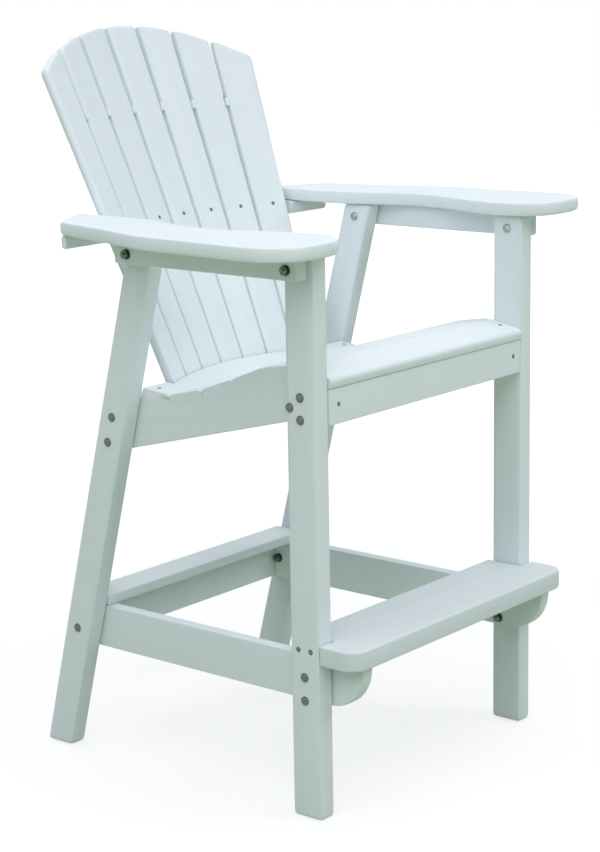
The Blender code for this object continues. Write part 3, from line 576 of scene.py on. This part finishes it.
def add_spacers(boards):
    """Small blocks, flush between the back slats at the height of the upper brace."""
    work = bmesh.new()
    trees = {name: board_tree(boards[name].data) for name in BACK_SLATS}
    for first, second in zip(BACK_SLATS, BACK_SLATS[1:]):
        start, end = slat_centre(first, SPACER_HEIGHT), slat_centre(second, SPACER_HEIGHT)
        heading = (end - start).normalized()
        near = trees[first].ray_cast(start, heading)[0]
        far = trees[second].ray_cast(end, -heading)[0]
        across = (far - near).normalized()
        grain = board_grain(first) / board_grain(first).z + board_grain(second) / board_grain(second).z
        grain = (grain - across * grain.dot(across)).normalized()
        ahead = across.cross(grain)
        if ahead.y > 0:
            ahead.negate()
        face = trees[first].ray_cast(start, ahead)[0]
        depth = (face - start).length - SPACER_SET - SPACER_DEPTH / 2
        sizes = ((far - near).length + 2 * SPACER_BITE, SPACER_LENGTH, SPACER_DEPTH)
        turn = Matrix((across, grain, across.cross(grain))).transposed().to_4x4()
        place = Matrix.Translation((near + far) / 2 + ahead * depth)
        matrix = place @ turn @ Matrix.Diagonal((*sizes, 1))
        made = bmesh.ops.create_cube(work, size=1, matrix=matrix)["verts"]
        edges = {edge for corner in made for edge in corner.link_edges}
        bmesh.ops.bevel(work, geom=list(edges), offset=SPACER_EDGE, segments=SPACER_STEPS,
                        affect="EDGES", profile=SPACER_PROFILE)
    mesh = bpy.data.meshes.new("spacers")
    work.to_mesh(mesh)
    work.free()
    mesh.shade_smooth()
    mesh.set_sharp_from_angle(angle=SMOOTH_ANGLE)
    grain = board_grain("upper_back_brace")
    mesh.materials.append(lumber("lumber_spacers", grain, 1, Vector(), SCUFFS))
    add_piece("back_joint_spacers", mesh, Matrix())


def dress_boards():
    """Soft shading over the eased edges, and each board its own cut of lumber."""
    chance = random.Random(SEED)
    fitted = add_boards()
    add_spacers(fitted)
    for name in BOARDS:
        board = fitted.get(name, NODES[name])
        board.data.shade_smooth()
        weld = board.modifiers.new("weld", "WELD")
        weld.merge_threshold = WELD
        split = board.modifiers.new("split", "EDGE_SPLIT")
        split.split_angle = SMOOTH_ANGLE
        normals = board.modifiers.new("normals", "WEIGHTED_NORMAL")
        normals.keep_sharp = True
        tone = 1 + chance.uniform(-TONE_SPREAD, TONE_SPREAD)
        offset = Vector([chance.uniform(0, PATTERN_SHIFT) for _ in range(3)])
        # The footrest has more scuffs, and a darker tone for wear and painted shade under the seat
        worn_and_shaded = name == "footrest"
        tone *= FOOTREST_WEAR_AND_SHADE_TONE if worn_and_shaded else 1
        scuffs = WORN_SCUFFS if worn_and_shaded else SCUFFS
        material = lumber("lumber_" + name, board_grain(name), tone, offset, scuffs)
        board.data.materials.clear()
        board.data.materials.append(material)


# Fasteners

def turned(work, rows, steps, slot):
    """Closed body of rings about Z; a row gives (radius, height) for an angle."""
    rings = []
    for row in rows:
        ring = []
        for step in range(steps):
            angle = 2 * math.pi * step / steps
            radius, height = row(angle)
            ring.append(work.verts.new((radius * math.cos(angle), radius * math.sin(angle), height)))
        rings.append(ring)
    faces = [work.faces.new(rings[0][::-1]), work.faces.new(rings[-1])]
    for lower, upper in zip(rings, rings[1:]):
        for step in range(steps):
            after = (step + 1) % steps
            faces.append(work.faces.new((lower[step], lower[after], upper[after], upper[step])))
    for face in faces:
        face.material_index = slot
        face.smooth = True


def plain(radius, height):
    return lambda angle: (radius, height)


def dome_rows():
    """Low round head with a narrow upright rim."""
    rows = [plain(HEAD_RADIUS, 0)]
    for step in range(DOME_STEPS + 1):
        turn = math.pi / 2 * step / (DOME_STEPS + DOME_FLAT)
        rise = HEAD_RIM + (HEAD_HEIGHT - HEAD_RIM) * math.sin(turn)
        rows.append(plain(HEAD_RADIUS * math.cos(turn), rise))
    return rows


def washer_rows(bottom):
    top = bottom + WASHER_THICK
    inner = WASHER_RADIUS - WASHER_EDGE
    return [plain(inner, bottom), plain(WASHER_RADIUS, bottom + WASHER_EDGE),
            plain(WASHER_RADIUS, top - WASHER_EDGE), plain(inner, top)]


def nut_rows(bottom):
    """Hexagon whose corners are turned off at both ends."""
    side = math.pi / 3

    def row(height):
        depth = min(height - bottom, bottom + NUT_HEIGHT - height)
        limit = NUT_FACE + depth * NUT_SLOPE

        def at(angle):
            flat = NUT_ACROSS / 2 / math.cos((angle + side / 2) % side - side / 2)
            return min(flat, limit), height
        return at
    return [row(bottom + NUT_HEIGHT * share) for share in NUT_RINGS]


def thread_rows(bottom, top):
    """Screw thread, tapered off at its free end."""
    count = round((top - bottom) / THREAD_PITCH * THREAD_ROWS)

    def row(height):
        def at(angle):
            phase = (height / THREAD_PITCH - angle / (2 * math.pi)) % 1
            groove = THREAD_DEPTH * abs(2 * phase - 1)
            taper = max(0.0, THREAD_DEPTH - (height - bottom))
            return BOLT_RADIUS - max(groove, taper), height
        return at
    return [row(bottom + (top - bottom) * step / count) for step in range(count + 1)]


def bolt_mesh(name, length):
    """Carriage bolt with its head above z = 0, and washer, nut and thread below."""
    tip = HEAD_HEIGHT - length
    nut = tip + BOLT_END
    washer = nut + NUT_HEIGHT
    mesh = bpy.data.meshes.new(name)
    work = bmesh.new()
    shank = [plain(BOLT_RADIUS, washer), plain(BOLT_RADIUS, HEAD_RIM / 2)]
    turned(work, dome_rows(), ROUND_STEPS, HEAD_METAL)
    turned(work, shank, ROUND_STEPS, HEAD_METAL)
    turned(work, washer_rows(washer), ROUND_STEPS, NUT_METAL)
    turned(work, nut_rows(nut), NUT_STEPS, NUT_METAL)
    turned(work, thread_rows(tip, washer), ROUND_STEPS, NUT_METAL)
    work.to_mesh(mesh)
    work.free()
    mesh.set_sharp_from_angle(angle=SMOOTH_ANGLE)
    return mesh


def make_bolts(steel, lit_arm_steel, dark):
    for name in BOLTS:
        low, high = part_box(name)
        outward = 1 if low.x > 0 else -1
        on_arm = name.startswith("arm_bolt")
        heading = -outward if on_arm else outward
        mesh = bolt_mesh(name, high.x - low.x)
        # The arm bolts take the paler steel, painted light on their heads
        mesh.materials.append(lit_arm_steel if on_arm else steel)
        mesh.materials.append(dark)
        head_x = (high.x if heading > 0 else low.x) - heading * HEAD_HEIGHT
        middle = (low + high) / 2
        turn = Matrix.Rotation(heading * math.pi / 2, 4, "Y")
        matrix = Matrix.Translation((head_x, middle.y, middle.z)) @ turn
        piece = add_piece("detailed_" + name, mesh, matrix)
        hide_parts(name)


def screw_mesh(size, material):
    """Oval wood screw head of a given radius, with a cross recess."""
    def top(share):
        def at(angle):
            x, y = abs(share * math.cos(angle)), abs(share * math.sin(angle))
            rise = SCREW_RISE * (1 - share * share)
            if min(x, y) < RECESS_HALF and max(x, y) < RECESS_REACH:
                rise -= RECESS_DEPTH * (1 - max(x, y) / RECESS_REACH) + RECESS_LIP
            return share * size, rise * size
        return at
    mesh = bpy.data.meshes.new("screw_head")
    work = bmesh.new()
    rows = [plain(size, -SCREW_SINK * size)]
    rows += [top(1 - ring / (SCREW_RINGS + SCREW_FLAT)) for ring in range(SCREW_RINGS + 1)]
    turned(work, rows, SCREW_STEPS, 0)
    work.to_mesh(mesh)
    work.free()
    mesh.set_sharp_from_angle(angle=SMOOTH_ANGLE)
    mesh.materials.append(material)
    return mesh


def surface(name, start, heading):
    """Where a ray meets a board, and the board's outward normal there."""
    place, normal, _, _ = board_tree(NODES[name].data).ray_cast(start, heading)
    return place, normal


def screw_sites():
    """Each screw's name, radius and board, and the start and heading of a ray to its place."""
    sites = []
    ahead = Vector((0, 1, 0))
    down = Vector((0, 0, -1))
    for number, board in enumerate(BACK_SLATS, 1):
        x = slat_centre(board, BACK_SCREW_HEIGHT).x
        sites.append(("screw_back_%d" % number, SLAT_SCREW_RADIUS, board,
                      Vector((x, -RAY_START, BACK_SCREW_HEIGHT)), ahead))
    for hand, side in HANDS:
        x, z = APRON_SCREW
        sites.append(("screw_apron_" + hand, APRON_SCREW_RADIUS, "seat_front_apron",
                      Vector((side * x, -RAY_START, z)), ahead))
        for board, back in SEAT_SCREWS:
            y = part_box(board)[0].y + back
            sites.append(("screw_%s_%s" % (board, hand), SLAT_SCREW_RADIUS, board,
                          Vector((side * SEAT_SCREW_X, y, RAY_START)), down))
        for number, back in enumerate(FOOTREST_SCREWS, 1):
            start = Vector((side * RAY_START, LEG_FRONT + back, FOOTREST_SCREW_HEIGHT))
            sites.append(("screw_footrest_%s_%d" % (hand, number), FOOTREST_SCREW_RADIUS,
                          "front_leg_" + hand, start, Vector((-side, 0, 0))))
    return sites


def make_screws(material):
    for name, size, board, start, heading in screw_sites():
        mesh = screw_mesh(size, material)
        place, normal = surface(board, start, heading)
        turn = normal.to_track_quat("Z", "Y").to_matrix().to_4x4()
        add_piece(name, mesh, Matrix.Translation(place) @ turn)


# Stage

def background_ray(tree):
    """One for the rays that see the white background: from the camera, a reflection or glass."""
    path = node(tree, "ShaderNodeLightPath").outputs
    seen = maths(tree, "MAXIMUM", path["Is Camera Ray"], path["Is Glossy Ray"])
    return maths(tree, "MAXIMUM", seen, path["Is Transmission Ray"])


def make_floor():
    """Pale floor, part of the white background but for the chair's soft shadow."""
    mesh = bpy.data.meshes.new("floor")
    work = bmesh.new()
    bmesh.ops.create_circle(work, cap_ends=True, segments=FLOOR_STEPS, radius=FLOOR_RADIUS)
    work.to_mesh(mesh)
    work.free()
    floor = bpy.data.objects.new("floor", mesh)
    bpy.context.scene.collection.objects.link(floor)
    floor.location.z = -FLOOR_DROP
    material, tree, shader = new_material("pale_floor")
    tree.nodes.remove(shader)
    bounce = node(tree, "ShaderNodeBsdfDiffuse", {"Color": (*FLOOR_BOUNCE, 1)})
    grey = node(tree, "ShaderNodeBsdfDiffuse", {"Color": (*FLOOR_SHADE, 1)})
    place = node(tree, "ShaderNodeTexCoord").outputs["Object"]
    away = node(tree, "ShaderNodeVectorMath", {0: place}, operation="LENGTH").outputs["Value"]
    level = spread(tree, away, (GLOW_START, GLOW_END), (FLOOR_GLOW, FAR_GLOW))
    glow = node(tree, "ShaderNodeEmission", {"Color": WHITE, "Strength": level})
    pale = node(tree, "ShaderNodeAddShader", {0: grey.outputs[0], 1: glow.outputs[0]})
    seen = background_ray(tree)
    pick = node(tree, "ShaderNodeMixShader", {0: seen, 1: bounce.outputs[0], 2: pale.outputs[0]})
    tree.links.new(pick.outputs[0], tree.nodes["Material Output"].inputs["Surface"])
    mesh.materials.append(material)


def make_sky():
    """Soft dome, brightest overhead, and plain white as a background."""
    world = bpy.data.worlds.new("studio")
    bpy.context.scene.world = world
    world.use_nodes = True
    tree = world.node_tree
    dome = tree.nodes["Background"]
    direction = node(tree, "ShaderNodeTexCoord").outputs["Generated"]
    height = node(tree, "ShaderNodeSeparateXYZ", {0: direction}).outputs["Z"]
    level = spread(tree, height, (-HORIZON, HORIZON), (0.0, 1.0))
    rise = maths(tree, "POWER", maths(tree, "MAXIMUM", height, 0.0), DOME_POWER)
    tree.links.new(blend(tree, rise, DOME_LOW, DOME_HIGH), dome.inputs["Color"])
    tree.links.new(level, dome.inputs["Strength"])
    white = node(tree, "ShaderNodeBackground", {"Color": WHITE, "Strength": 1.0})
    seen = background_ray(tree)
    pick = node(tree, "ShaderNodeMixShader", {0: seen, 1: dome.outputs[0], 2: white.outputs[0]})
    tree.links.new(pick.outputs[0], tree.nodes["World Output"].inputs["Surface"])


def make_lamps():
    for name, place, power in LAMPS:
        data = bpy.data.lights.new(name, "AREA")
        data.shape = "DISK"
        data.size = LAMP_SIZE
        data.energy = power
        lamp = bpy.data.objects.new(name, data)
        bpy.context.scene.collection.objects.link(lamp)
        turn = (Vector(LAMP_AIM) - Vector(place)).to_track_quat("-Z", "Y").to_matrix().to_4x4()
        lamp.matrix_world = Matrix.Translation(place) @ turn


make_camera()
make_sky()
make_floor()
make_lamps()
dress_boards()
# The arm bolts' steel is a paler copy of the bolt steel, as painted light
make_bolts(metal("bolt_steel", STEEL, STEEL_DARK, STEEL_ROUGH),
           metal("lit_arm_bolt_steel", LIT_ARM_STEEL, LIT_ARM_STEEL_DARK, STEEL_ROUGH),
           metal("nut_steel", NUT_PALE, NUT_DARK, NUT_ROUGH))
make_screws(metal("screw_steel", SCREW_PALE, SCREW_DARK, SCREW_ROUGH))
bpy.context.scene.view_settings.view_transform = "Standard"
